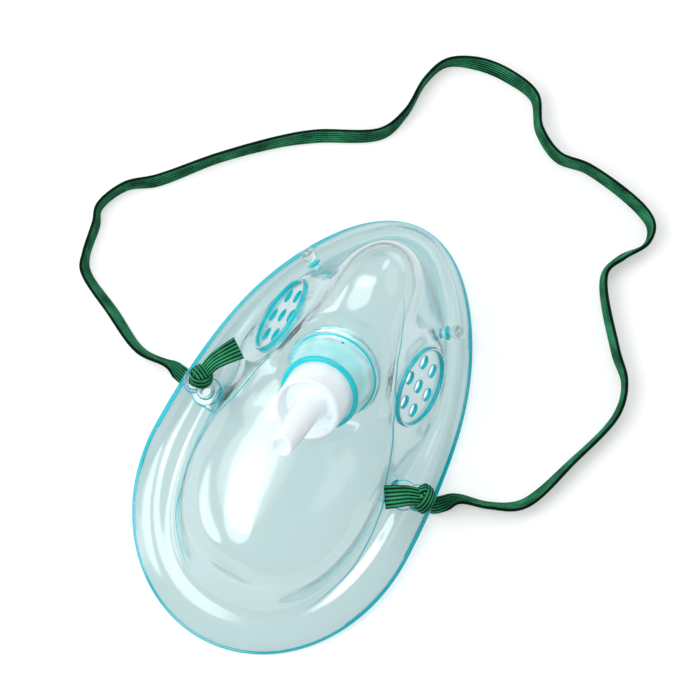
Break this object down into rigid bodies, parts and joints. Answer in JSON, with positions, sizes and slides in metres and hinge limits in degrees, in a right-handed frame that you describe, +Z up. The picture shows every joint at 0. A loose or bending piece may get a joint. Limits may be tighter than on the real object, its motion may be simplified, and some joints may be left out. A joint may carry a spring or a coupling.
{
  "type": "oxygen face mask",
  "caption": "Clear soft plastic face mask with a wide rolled edge, a tilted collar holding a swivelling tubing connector, pierced side vents, nose clip pegs and a knotted elastic head strap.",
  "frame": {"origin": "on the table plane, under the middle of the mask's own bounding box, strap left out", "axes": "+Y towards the nose end, +X across the face, +Z up and away from the face"},
  "size_m": [0.1675, 0.1941, 0.0771],
  "materials": {
    "clear_vinyl": "clear and glossy, soft, with a pale blue-green edge colour",
    "milky_plastic": "translucent milky white, semi-gloss",
    "green_elastic": "ribbed woven elastic with a soft sheen"
  },
  "bodies": {
    "mask": {"mask_shell": "clear_vinyl", "head_strap": "green_elastic", "left_knot": "green_elastic", "right_knot": "green_elastic"},
    "connector": {"tubing_connector": "milky_plastic"}
  },
  "joints": [
    {"name": "connector_swivel", "type": "hinge", "parent": "mask", "child": "connector", "pos_m": [0, 0.00424, 0.04912], "axis": [0, -0.6157, 0.788], "continuous": true}
  ]
}
